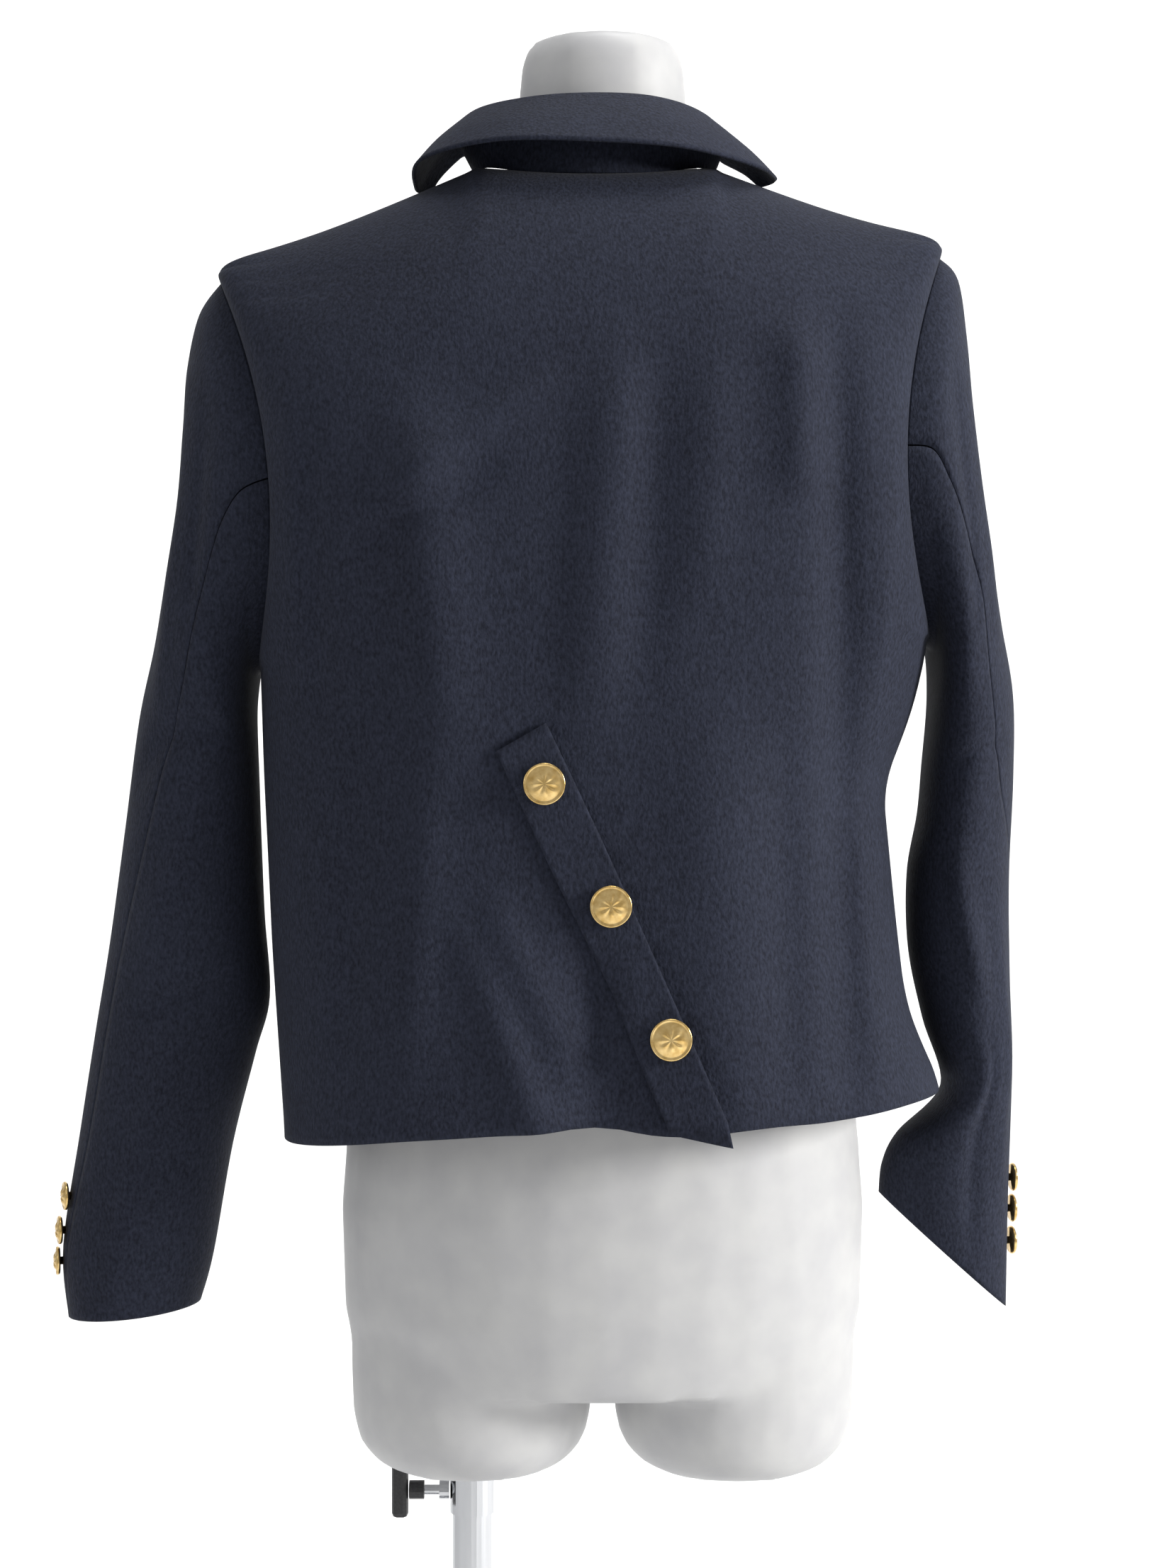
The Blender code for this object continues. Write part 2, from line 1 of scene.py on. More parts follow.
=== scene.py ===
"""Looks of the cropped blazer on its dress form: fine cloth shells, fittings, light and camera.

The shells repeat the part's own sizes and tables in millimetres, and points become metres in a mesh.
"""

import math

import bmesh
import bpy
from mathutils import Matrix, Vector

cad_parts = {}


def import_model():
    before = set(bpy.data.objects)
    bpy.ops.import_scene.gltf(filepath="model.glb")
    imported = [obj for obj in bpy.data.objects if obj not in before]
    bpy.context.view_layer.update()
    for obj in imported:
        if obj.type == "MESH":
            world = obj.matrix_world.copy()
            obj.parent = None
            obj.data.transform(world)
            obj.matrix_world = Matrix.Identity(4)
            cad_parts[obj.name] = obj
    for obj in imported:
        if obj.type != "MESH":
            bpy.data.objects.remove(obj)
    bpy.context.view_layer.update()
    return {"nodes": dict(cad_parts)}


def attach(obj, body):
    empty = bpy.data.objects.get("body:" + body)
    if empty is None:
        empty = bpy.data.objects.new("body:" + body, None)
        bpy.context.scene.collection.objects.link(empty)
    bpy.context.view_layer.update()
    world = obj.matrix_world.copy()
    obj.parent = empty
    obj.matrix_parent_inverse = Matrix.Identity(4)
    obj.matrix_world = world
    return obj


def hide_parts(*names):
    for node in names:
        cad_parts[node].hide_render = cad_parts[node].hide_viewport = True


MM = 0.001
CLOTH = 1.6
COLLAR_CLOTH = 2.0
SEAM = 0.25
MIDDLE_X = -5.0
NECK_HALF = 75.0
NECK_Z = 1222.0
NAPE_Z = 1209.0
NAPE_DEPTH = 62.0
FRONT_HEM_Z = 655.0
SECTION_POWER = 2.7
RIDGE_SHARE = 0.22
RIDGE_POWER = 2.2
EDGE_POWER = 6.0
ARMHOLE_BOW = 24.0
ARMHOLE_HALF_DEPTH = 75.0
ARMHOLE_LEAN = 0.45
LIE_GAP = 1.4
ROW_POWER = 1.6
# Creases reach their full rise within this part of the height below the neck edge
CREASE_FADE = 12.0
# The left front sinks under the right one: depth, where it starts in x, and over what width
UNDERLAP_DEPTH = 2.8
UNDERLAP_X = -65.0
UNDERLAP_BLEND = 35.0
LAPEL_TOP_Z = 1166.0
LAPEL_LENGTH = 114.0
LAPEL_TIP_WIDTH = 10.0
LAPEL_SPREAD = 52.0
SLEEVE_SEAM_ANGLE = 0.25
# A button's outline from the shank out over the rim: share of its radius, and height
BUTTON_OUTLINE = (
    (0.28, 0.0),
    (0.28, 2.0),
    (0.9, 2.2),
    (1.0, 3.0),
    (1.0, 3.9),
    (0.96, 4.5),
    (0.9, 4.3),
    (0.86, 4.0),
)
DOME_SHARE = 0.84
DOME_BASE = 4.0
DOME_RISE = 1.9
PETAL_RELIEF = 0.5
BUTTON_STANDOFF = 0.45
SLEEVE_BUTTON_STANDOFF = 0.4
SLEEVE_BUTTON_ANGLE = 14.0
SLEEVE_BUTTON_STATIONS = {"left": (11.55, 11.85, 12.2), "right": (12.72, 13.1, 13.4)}
# The backdrop in metres: near end, where its sweep starts, radius of the sweep, top and half width
BACKDROP_NEAR = -7.0
SWEEP_START = 2.5
SWEEP_RADIUS = 1.5
SWEEP_STEPS = 12
BACKDROP_TOP = 6.0
BACKDROP_HALF_WIDTH = 8.0

# One row a side: shoulder tip, underarm point, and the side's half widths by height below it
SIDES = {
    "left": {
        "sign": -1,
        "tip_x": 230.0,
        "tip_z": 1158.0,
        "under_x": 205.0,
        "under_z": 925.0,
        "widths": ((925, 205), (860, 203), (757, 198), (645, 190)),
    },
    "right": {
        "sign": 1,
        "tip_x": 203.0,
        "tip_z": 1173.0,
        "under_x": 195.0,
        "under_z": 940.0,
        "widths": ((940, 195), (900, 186), (853, 168), (771, 176), (728, 181), (707, 188), (675, 203)),
    },
}
# Hem height by x along the back
HEM = (
    (-200, 645),
    (-115, 656),
    (-30, 663),
    (-7, 666),
    (34, 659),
    (75, 665),
    (117, 666),
    (169, 674),
    (205, 675),
)
# Depth of the garment behind and before its middle, by height
BACK_DEPTH = ((1210, 112), (1050, 128), (900, 126), (800, 121), (650, 138))
FRONT_DEPTH = ((1210, 92), (1050, 122), (900, 116), (800, 112), (650, 130))
# Soft vertical folds of the back: x at the top and bottom, height span, width and rise, in mm
FOLDS = (
    {"top_x": 8, "bottom_x": -8, "high": 1090, "low": 900, "width": 14, "rise": 5},
    {"top_x": 132, "bottom_x": 138, "high": 1090, "low": 690, "width": 13, "rise": -6},
    {"top_x": 110, "bottom_x": 112, "high": 1110, "low": 1020, "width": 14, "rise": 4},
    {"top_x": 60, "bottom_x": 75, "high": 880, "low": 640, "width": 30, "rise": 5},
    {"top_x": -105, "bottom_x": -90, "high": 1060, "low": 880, "width": 22, "rise": 5},
    {"top_x": -70, "bottom_x": -30, "high": 780, "low": 640, "width": 16, "rise": 5},
    {"top_x": -10, "bottom_x": 4, "high": 760, "low": 640, "width": 16, "rise": -5},
)
# Sleeve rings: outer point, inner point, middle y, half depth, and the back seam's angle in degrees
LEFT_SLEEVE = (
    {"xo": -230, "zo": 1158, "xi": -205, "zi": 925, "y": 0, "half": 75, "seam": -95},
    {"xo": -243, "zo": 1139, "xi": -210, "zi": 921, "y": 0, "half": 76, "seam": -93},
    {"xo": -250, "zo": 1107, "xi": -211, "zi": 914, "y": 0, "half": 74, "seam": -91},
    {"xo": -252, "zo": 1072, "xi": -211, "zi": 906, "y": 0, "half": 71, "seam": -89},
    {"xo": -255, "zo": 1030, "xi": -211, "zi": 895, "y": 0, "half": 68, "seam": -86},
    {"xo": -262, "zo": 986, "xi": -210, "zi": 878, "y": 0, "half": 65, "seam": -82},
    {"xo": -270, "zo": 940, "xi": -209, "zi": 855, "y": 2, "half": 61, "seam": -77},
    {"xo": -280, "zo": 895, "xi": -208, "zi": 825, "y": 4, "half": 58, "seam": -70},
    {"xo": -289, "zo": 830, "xi": -206, "zi": 775, "y": 6, "half": 56, "seam": -56},
    {"xo": -299, "zo": 760, "xi": -203, "zi": 725, "y": 8, "half": 53, "seam": -42},
    {"xo": -308, "zo": 707, "xi": -212, "zi": 690, "y": 10, "half": 50, "seam": -40},
    {"xo": -318, "zo": 645, "xi": -226, "zi": 635, "y": 12, "half": 47, "seam": -39},
    {"xo": -329, "zo": 574, "xi": -238, "zi": 568, "y": 14, "half": 43, "seam": -30},
    {"xo": -326, "zo": 531, "xi": -246, "zi": 539, "y": 15, "half": 40, "seam": -22},
)
RIGHT_SLEEVE = (
    {"xo": 203, "zo": 1173, "xi": 195, "zi": 940, "y": 0, "half": 75, "seam": -93},
    {"xo": 214, "zo": 1160, "xi": 200, "zi": 936, "y": 0, "half": 76, "seam": -90},
    {"xo": 219, "zo": 1125, "xi": 201, "zi": 929, "y": 0, "half": 74, "seam": -87},
    {"xo": 222, "zo": 1085, "xi": 201, "zi": 920, "y": 0, "half": 71, "seam": -82},
    {"xo": 227, "zo": 1040, "xi": 200, "zi": 907, "y": 1, "half": 68, "seam": -76},
    {"xo": 233, "zo": 1000, "xi": 198, "zi": 888, "y": 2, "half": 65, "seam": -70},
    {"xo": 240, "zo": 955, "xi": 195, "zi": 865, "y": 3, "half": 61, "seam": -69},
    {"xo": 248, "zo": 910, "xi": 192, "zi": 835, "y": 5, "half": 58, "seam": -68},
    {"xo": 249, "zo": 860, "xi": 186, "zi": 800, "y": 8, "half": 55, "seam": -54},
    {"xo": 247, "zo": 800, "xi": 187, "zi": 755, "y": 11, "half": 52, "seam": -20},
    {"xo": 248, "zo": 740, "xi": 196, "zi": 712, "y": 14, "half": 48, "seam": -10},
    {"xo": 250, "zo": 690, "xi": 208, "zi": 668, "y": 17, "half": 45, "seam": -8},
    {"xo": 250, "zo": 645, "xi": 181, "zi": 640, "y": 20, "half": 40, "seam": -8},
    {"xo": 249, "zo": 600, "xi": 172, "zi": 622, "y": 22, "half": 34, "seam": -8},
    {"xo": 248, "zo": 534, "xi": 170, "zi": 604, "y": 23, "half": 28, "seam": -8},
)
FRONT_SEAM_ANGLE = 125.0
# Collar stations round the neck: base, roll and fall points
COLLAR = (
    {"base": (-72, 16, 1227), "roll": (-84, 18, 1240), "fall": (-106, 14, 1217)},
    {"base": (-78, -2, 1227), "roll": (-88, -4, 1246), "fall": (-112, -6, 1216)},
    {"base": (-68, -28, 1224), "roll": (-74, -30, 1254), "fall": (-106, -52, 1222)},
    {"base": (-42, -54, 1215), "roll": (-42, -50, 1256), "fall": (-62, -88, 1224)},
    {"base": (-5, -66, 1212), "roll": (-5, -58, 1256), "fall": (-5, -96, 1222)},
    {"base": (32, -54, 1215), "roll": (30, -50, 1256), "fall": (46, -88, 1220)},
    {"base": (58, -28, 1224), "roll": (58, -30, 1252), "fall": (88, -54, 1218)},
    {"base": (68, -2, 1227), "roll": (74, -4, 1242), "fall": (104, -8, 1221)},
    {"base": (62, 16, 1227), "roll": (70, 18, 1238), "fall": (96, 14, 1222)},
)
# Vent strap: height, left edge and right edge
STRAP = (
    {"z_left": 873, "left": -60, "z_right": 889, "right": -32},
    {"z_left": 804, "left": -28, "z_right": 826, "right": -2},
    {"z_left": 738, "left": 5, "z_right": 761, "right": 27},
    {"z_left": 690, "left": 24, "z_right": 705, "right": 52},
    {"z_left": 668, "left": 34, "z_right": 669, "right": 68},
)
BACK_BUTTONS = ((-33, 855), (4, 787), (37, 714))
FRONT_BUTTONS = ((-5, 960), (-5, 870), (-5, 780))
BUTTON_RADIUS = 11.75
SLEEVE_BUTTON_RADIUS = 8.5
# Creases pressed in: ends as (x, z), half width and rise, all in mm
BACK_CREASES = (
    {"from": (-125, 1018), "to": (-28, 1081), "width": 9, "rise": 3.4},
    {"from": (-140, 985), "to": (-60, 1030), "width": 10, "rise": -3.2},
    {"from": (-77, 787), "to": (-28, 680), "width": 8, "rise": -3.8},
    {"from": (-60, 790), "to": (-12, 690), "width": 7, "rise": 3.0},
    {"from": (-180, 1090), "to": (-176, 950), "width": 7, "rise": 2.8},
    {"from": (-168, 1060), "to": (-160, 900), "width": 9, "rise": -3.8},
    {"from": (-96, 870), "to": (-110, 700), "width": 13, "rise": 3.8},
    {"from": (-140, 860), "to": (-146, 690), "width": 12, "rise": -3.4},
    {"from": (30, 1090), "to": (22, 900), "width": 12, "rise": -3.0},
    {"from": (62, 1100), "to": (56, 960), "width": 14, "rise": 3.0},
    {"from": (168, 1080), "to": (160, 900), "width": 9, "rise": 3.8},
    {"from": (100, 880), "to": (104, 680), "width": 12, "rise": -3.0},
    {"from": (150, 840), "to": (158, 690), "width": 9, "rise": 3.8},
    {"from": (-30, 1195), "to": (40, 1192), "width": 7, "rise": -1.4},
)
FRONT_CREASES = (
    {"from": (-120, 1020), "to": (-60, 980), "width": 10, "rise": 3.4},
    {"from": (118, 1040), "to": (60, 975), "width": 10, "rise": -3.2},
    {"from": (-150, 900), "to": (-140, 700), "width": 13, "rise": 2.6},
    {"from": (140, 900), "to": (128, 700), "width": 13, "rise": -3.8},
    {"from": (-80, 840), "to": (-90, 680), "width": 12, "rise": -3.2},
    {"from": (84, 830), "to": (96, 680), "width": 12, "rise": 3.4},
)
# Sleeve creases: ends as (ring, angle in degrees), half width and rise in mm
LEFT_SLEEVE_CREASES = (
    {"from": (1.5, -60), "to": (5.0, -75), "width": 8, "rise": -3.8},
    {"from": (2.0, -30), "to": (6.5, -50), "width": 9, "rise": 3.8},
    {"from": (5.5, -120), "to": (7.5, -40), "width": 7, "rise": -3.8},
    {"from": (7.2, -110), "to": (8.8, -60), "width": 7, "rise": 2.0},
    {"from": (8.8, -130), "to": (9.6, -70), "width": 6, "rise": -3.4},
    {"from": (9.5, -100), "to": (12.5, -80), "width": 9, "rise": 3.4},
    {"from": (2.0, 60), "to": (6.0, 80), "width": 9, "rise": 3.8},
    {"from": (6.0, 50), "to": (8.5, 120), "width": 8, "rise": -3.8},
)
RIGHT_SLEEVE_CREASES = (
    {"from": (1.5, -60), "to": (5.0, -80), "width": 8, "rise": -3.8},
    {"from": (2.2, -35), "to": (6.0, -45), "width": 9, "rise": 3.4},
    {"from": (6.6, -120), "to": (7.4, -50), "width": 6, "rise": -2.8},
    {"from": (8.0, -110), "to": (10.0, -80), "width": 9, "rise": 3.8},
    {"from": (10.5, -80), "to": (13.6, -70), "width": 6, "rise": -3.0},
    {"from": (9.0, -55), "to": (13.0, -40), "width": 9, "rise": 2.0},
    {"from": (2.0, 60), "to": (6.0, 80), "width": 9, "rise": 3.8},
    {"from": (6.0, 50), "to": (8.5, 120), "width": 8, "rise": -3.8},
)
RING_PITCH = 45.0
EDGE_BLUR = (-24.0, -12.0, 0.0, 12.0, 24.0)
COLLAR_SEAT = 2.2
FOLD_GAIN = 1.5
STRAP_TIP = {"z_left": 662, "left": 36, "z_right": 655, "right": 71}
FINE_ROWS = 170
FINE_BACK_COLUMNS = 60
FINE_FRONT_COLUMNS = 60
FINE_RINGS = 8
CAMERA_X = -8.8
CAMERA_DISTANCE = 1500.0
CAMERA_Z = 855.0
FOCAL_PIXELS = 3488.0
FRAME_HEIGHT = 2212.0
SENSOR = 36.0


def lookup(table, key):
    """Straight-line reading of a table of (key, value) rows, in either order."""
    rows = sorted(table)
    if key <= rows[0][0]:
        return rows[0][1]
    for (low, first), (high, second) in zip(rows, rows[1:]):
        if key <= high:
            return first + (second - first) * (key - low) / (high - low)
    return rows[-1][1]


def smooth(value):
    value = min(1.0, max(0.0, value))
    return value * value * (3.0 - 2.0 * value)


def armhole_angle(side, z):
    middle = (side["tip_z"] + side["under_z"]) / 2
    half = (side["tip_z"] - side["under_z"]) / 2
    return math.acos(min(1.0, max(-1.0, (z - middle) / half)))


def edge(side, z):
    """Signed x and unsigned y of a body panel's side edge: the armhole, then the side seam."""
    if z < side["under_z"]:
        return side["sign"] * blurred(side["widths"], z), 0.0
    angle = armhole_angle(side, z)
    share = (side["tip_z"] - min(z, side["tip_z"])) / (side["tip_z"] - side["under_z"])
    x = side["tip_x"] + (side["under_x"] - side["tip_x"]) * share - ARMHOLE_BOW * math.sin(angle) ** 2
    return side["sign"] * x, ARMHOLE_HALF_DEPTH * math.sin(angle)


def top_z(side, s, front):
    reach = abs(side["sign"] * side["tip_x"] - MIDDLE_X) * s
    if reach >= NECK_HALF:
        run = abs(side["sign"] * side["tip_x"] - MIDDLE_X) - NECK_HALF
        return NECK_Z + (side["tip_z"] - NECK_Z) * (reach - NECK_HALF) / run
    if front:
        return NECK_Z
    return NAPE_Z + (NECK_Z - NAPE_Z) * (reach / NECK_HALF) ** 2.2


def hem_z(x, front):
    if front:
        return FRONT_HEM_Z + (blurred(HEM, x) - FRONT_HEM_Z) * smooth(abs(x - MIDDLE_X) / 190.0)
    return blurred(HEM, x)


def fold_rise(x, z):
    total = 0.0
    for fold in FOLDS:
        share = (fold["high"] - z) / (fold["high"] - fold["low"])
        middle = fold["top_x"] + (fold["bottom_x"] - fold["top_x"]) * share
        window = smooth((share + 0.2) / 0.4) * smooth((1.2 - share) / 0.4)
        if fold["low"] <= 640:
            window = smooth((share + 0.2) / 0.4)
        total += FOLD_GAIN * fold["rise"] * window * math.exp(-(((x - middle) / fold["width"]) ** 2))
    return total


def depth(side, s, z, w, front):
    """Unsigned distance of the cloth's outer face from y = 0."""
    x_edge, y_edge = edge(side, z)
    y_soft = sum(edge(side, z + step)[1] for step in EDGE_BLUR) / len(EDGE_BLUR)
    y_edge = y_soft + (y_edge - y_soft) * min(1.0, abs(s)) ** (2 * EDGE_POWER)
    reach = abs(side["sign"] * side["tip_x"] - MIDDLE_X) * abs(s)
    rim = 0.0
    if reach < NECK_HALF and not front:
        rim = NAPE_DEPTH * math.sqrt(1.0 - (reach / NECK_HALF) ** 2)
    middle = blurred(FRONT_DEPTH if front else BACK_DEPTH, z)
    bend = (1.0 - min(1.0, abs(s)) ** SECTION_POWER) ** (1.0 / SECTION_POWER)
    full = y_edge + (middle - y_edge) * bend
    grow = 1.0
    if w < RIDGE_SHARE:
        grow = (1.0 - (1.0 - w / RIDGE_SHARE) ** RIDGE_POWER) ** (1.0 / RIDGE_POWER)
    hold = min(1.0, abs(s)) ** EDGE_POWER
    full -= (1.0 - hold) * (1.0 - grow) * (full - rim)
    if not front:
        x = MIDDLE_X + s * (x_edge - MIDDLE_X)
        full += fold_rise(x, z) * grow * (1.0 - hold)
    return full


def cloth_point(side, s, w, front):
    """Outer point of a body panel at share s from the middle to the side and share w from top to hem."""
    top = top_z(side, abs(s), front)
    guess = MIDDLE_X + s * (edge(side, side["under_z"] - 200.0)[0] - MIDDLE_X)
    z = top + (hem_z(guess, front) - top) * w
    x_edge = edge(side, min(z, side["tip_z"]))[0]
    x = MIDDLE_X + s * (x_edge - MIDDLE_X)
    y = depth(side, s, z, w, front)
    return Vector((x, y if front else -y, z))


def cloth_at(x, z, front):
    """Outer point of the back or front at a given x and height."""
    side = SIDES["right"] if x > MIDDLE_X else SIDES["left"]
    x_edge = edge(side, min(z, side["tip_z"]))[0]
    s = (x - MIDDLE_X) / (x_edge - MIDDLE_X)
    top = top_z(side, abs(s), front)
    w = max(0.0, (top - z) / (top - hem_z(x, front)))
    y = depth(side, s, z, w, front)
    return Vector((x, y if front else -y, z))


def grid_normals(rows, inside):
    """Unit directions into the cloth at each point of a grid, towards the point that inside gives."""
    found = []
    for i, row in enumerate(rows):
        line = []
        for j, point in enumerate(row):
            along = row[min(j + 1, len(row) - 1)] - row[max(j - 1, 0)]
            down = rows[min(i + 1, len(rows) - 1)][j] - rows[max(i - 1, 0)][j]
            normal = along.cross(down).normalized()
            if normal.dot(inside(point) - point) < 0:
                normal = -normal
            line.append(normal)
        found.append(line)
    return found


def torso_inside(point):
    return Vector((MIDDLE_X, 0.0, min(point.z, 1150.0) - 40.0))


def finish_mesh(name, bm, look):
    bmesh.ops.triangulate(bm, faces=bm.faces)
    bmesh.ops.recalc_face_normals(bm, faces=bm.faces)
    mesh = bpy.data.meshes.new(name)
    bm.to_mesh(mesh)
    bm.free()
    mesh.materials.append(look)
    mesh.shade_smooth()
    made = bpy.data.objects.new(name, mesh)
    bpy.context.scene.collection.objects.link(made)
    return made


def wall(name, rows, directions, thickness, look):
    """A closed wall between a grid of outer points and the same grid moved along its directions."""
    bm = bmesh.new()
    outer = [[bm.verts.new(p * MM) for p in row] for row in rows]
    inner = []
    for row, line in zip(rows, directions):
        inner.append([bm.verts.new((p + d * thickness) * MM) for p, d in zip(row, line)])
    last_row = len(rows) - 1
    last_column = len(rows[0]) - 1
    for i in range(last_row):
        for j in range(last_column):
            bm.faces.new((outer[i][j], outer[i][j + 1], outer[i + 1][j + 1], outer[i + 1][j]))
            bm.faces.new((inner[i][j], inner[i + 1][j], inner[i + 1][j + 1], inner[i][j + 1]))
        for j in (0, last_column):
            bm.faces.new((outer[i][j], outer[i + 1][j], inner[i + 1][j], inner[i][j]))
    for j in range(last_column):
        for i in (0, last_row):
            bm.faces.new((outer[i][j], inner[i][j], inner[i][j + 1], outer[i][j + 1]))
    return finish_mesh(name, bm, look)


def section_share(angle):
    return math.copysign(abs(math.sin(angle)) ** (2.0 / SECTION_POWER), angle)


def seam_direction(side, point, normal):
    """Direction into the cloth on a side edge, the same for the two panels that meet there."""
    if point.z < side["under_z"] + 1.0:
        return Vector((-side["sign"], 0, 0))
    inward = max(ARMHOLE_LEAN, abs(normal.x))
    return Vector((-side["sign"] * inward, normal.y, normal.z)).normalized()


def roll_line_x(side, z):
    share = min(1.0, max(0.0, (z - 1000.0) / (NECK_Z - 1000.0)))
    return MIDDLE_X + side["sign"] * (-20.0 + (NECK_HALF + 20.0) * share)


def ring_point(ring, angle, bow, sign):
    """Point and inward direction on a sleeve ring, angle 0 at its outer side."""
    outer = Vector((ring["xo"], ring["y"], ring["zo"]))
    inner = Vector((ring["xi"], ring["y"], ring["zi"]))
    reach = (outer - inner) / 2
    across = Vector((0, ring["half"], 0))
    point = (outer + inner) / 2 + reach * math.cos(angle) + across * math.sin(angle)
    point.x -= sign * bow * math.sin(angle) ** 2
    slope = reach.normalized() * (math.cos(angle) / reach.length)
    slope += Vector((0, math.sin(angle) / ring["half"], 0))
    return point, -slope.normalized()


def between(table, k):
    first = table[int(k)]
    second = table[min(int(k) + 1, len(table) - 1)]
    share = k - int(k)
    return {key: first[key] + (second[key] - first[key]) * share for key in first}


def blurred(table, key, reach=14.0):
    """The table read softly, so that its rows leave no kink in the cloth."""
    total = 0.0
    for step in (-1.0, -0.5, 0.0, 0.5, 1.0):
        total += lookup(table, key + step * reach)
    return total / 5.0


def crease_rise(creases, x, z):
    total = 0.0
    for crease in creases:
        ax, az = crease["from"]
        bx, bz = crease["to"]
        run_x, run_z = bx - ax, bz - az
        share = ((x - ax) * run_x + (z - az) * run_z) / (run_x**2 + run_z**2)
        if -0.4 < share < 1.4:
            near = min(1.0, max(0.0, share))
            away = math.hypot(x - ax - near * run_x, z - az - near * run_z)
            ends = smooth((share + 0.2) / 0.5) * smooth((1.2 - share) / 0.5)
            total += crease["rise"] * ends * math.exp(-((away / crease["width"]) ** 2))
    return total


def strap_groove(x, z):
    """A narrow trough beside the vent strap, where the cloth folds back."""
    for low, high in zip(STRAP[1:], STRAP):
        if low["z_right"] <= z <= high["z_right"]:
            share = (z - low["z_right"]) / (high["z_right"] - low["z_right"])
            edge_x = low["right"] + (high["right"] - low["right"]) * share
            return -2.0 * math.exp(-(((x - edge_x - 2.5) / 2.5) ** 2))
    return 0.0


def curve_through(points, steps):
    """A smooth curve through its points (Catmull-Rom), with that many steps in each stretch."""
    found = []
    for i in range(len(points) - 1):
        before = points[max(i - 1, 0)]
        first, second = points[i], points[i + 1]
        after = points[min(i + 2, len(points) - 1)]
        for k in range(steps):
            t = k / steps
            lift = (second - before) * t + (before * 2 - first * 5 + second * 4 - after) * t**2
            lift += (first * 3 - before - second * 3 + after) * t**3
            found.append(first + lift * 0.5)
    found.append(points[-1].copy())
    return found


def smooth_ring(table, k):
    i = min(int(k), len(table) - 2)
    t = k - i
    before, first = table[max(i - 1, 0)], table[i]
    second, after = table[i + 1], table[min(i + 2, len(table) - 1)]
    ring = {}
    for key in first:
        a, b, c, d = before[key], first[key], second[key], after[key]
        lift = (c - a) * t + (2 * a - 5 * b + 4 * c - d) * t**2 + (3 * b - a - 3 * c + d) * t**3
        ring[key] = b + lift * 0.5
    return ring


def node_material(name, colour, roughness, metallic=0.0, sheen=0.0, specular=0.5):
    made = bpy.data.materials.new(name)
    made.use_nodes = True
    shader = made.node_tree.nodes["Principled BSDF"]
    shader.inputs["Base Color"].default_value = (*colour, 1.0)
    shader.inputs["Roughness"].default_value = roughness
    shader.inputs["Metallic"].default_value = metallic
    shader.inputs["Sheen Weight"].default_value = sheen
    shader.inputs["Sheen Roughness"].default_value = 0.5
    shader.inputs["Specular IOR Level"].default_value = specular
    return made, made.node_tree, shader


def noise(tree, scale, detail, stretch=(1, 1, 1)):
    place = tree.nodes.new("ShaderNodeTexCoord")
    mapping = tree.nodes.new("ShaderNodeMapping")
    mapping.inputs["Scale"].default_value = stretch
    made = tree.nodes.new("ShaderNodeTexNoise")
    made.inputs["Scale"].default_value = scale
    made.inputs["Detail"].default_value = detail
    tree.links.new(place.outputs["Object"], mapping.inputs["Vector"])
    tree.links.new(mapping.outputs["Vector"], made.inputs["Vector"])
    return made


def ramp(tree, source, low, high, low_at=0.3, high_at=0.7):
    made = tree.nodes.new("ShaderNodeValToRGB")
    made.color_ramp.elements[0].position = low_at
    made.color_ramp.elements[0].color = (*low, 1.0)
    made.color_ramp.elements[1].position = high_at
    made.color_ramp.elements[1].color = (*high, 1.0)
    tree.links.new(source, made.inputs["Fac"])
    return made


def bump(tree, shader, height, strength, distance):
    made = tree.nodes.new("ShaderNodeBump")
    made.inputs["Strength"].default_value = strength
    made.inputs["Distance"].default_value = distance
    tree.links.new(height, made.inputs["Height"])
    tree.links.new(made.outputs["Normal"], shader.inputs["Normal"])


def wool_material():
    """Wool crepe: a fine pebbled grain with vertical ends, and broad faint shade changes."""
    made, tree, shader = node_material("wool_crepe", (0.012, 0.014, 0.022), 0.8, 0.0, 0.03, 0.12)
    grain = noise(tree, 620.0, 3.0, (1.0, 1.0, 0.55))
    broad = noise(tree, 9.0, 2.0)
    mix = tree.nodes.new("ShaderNodeMix")
    mix.data_type = "RGBA"
    mix.inputs["Factor"].default_value = 0.35
    fine = ramp(tree, grain.outputs["Fac"], (0.007, 0.008, 0.014), (0.030, 0.035, 0.058))
    wide = ramp(tree, broad.outputs["Fac"], (0.012, 0.014, 0.024), (0.022, 0.026, 0.042))
    tree.links.new(fine.outputs["Color"], mix.inputs["A"])
    tree.links.new(wide.outputs["Color"], mix.inputs["B"])
    tree.links.new(mix.outputs["Result"], shader.inputs["Base Color"])
    bump(tree, shader, grain.outputs["Fac"], 0.7, 0.0008)
    return made


def gilt_material():
    made, tree, shader = node_material("gilt", (0.83, 0.57, 0.22), 0.24, 1.0)
    wear = noise(tree, 260.0, 4.0)
    tint = ramp(tree, wear.outputs["Fac"], (0.62, 0.40, 0.13), (0.9, 0.66, 0.3))
    tree.links.new(tint.outputs["Color"], shader.inputs["Base Color"])
    bump(tree, shader, wear.outputs["Fac"], 0.15, 0.0003)
    return made


def form_material():
    made, tree, shader = node_material("form_white", (0.86, 0.86, 0.86), 0.5)
    mottle = noise(tree, 40.0, 3.0)
    # Painted shade: the white form's colour is set to mid grey to stand in for its shading, with a faint
    # random mottle
    tint = ramp(tree, mottle.outputs["Fac"], (0.44, 0.44, 0.45), (0.50, 0.50, 0.50))
    tree.links.new(tint.outputs["Color"], shader.inputs["Base Color"])
    bump(tree, shader, mottle.outputs["Fac"], 0.08, 0.0005)
    return made


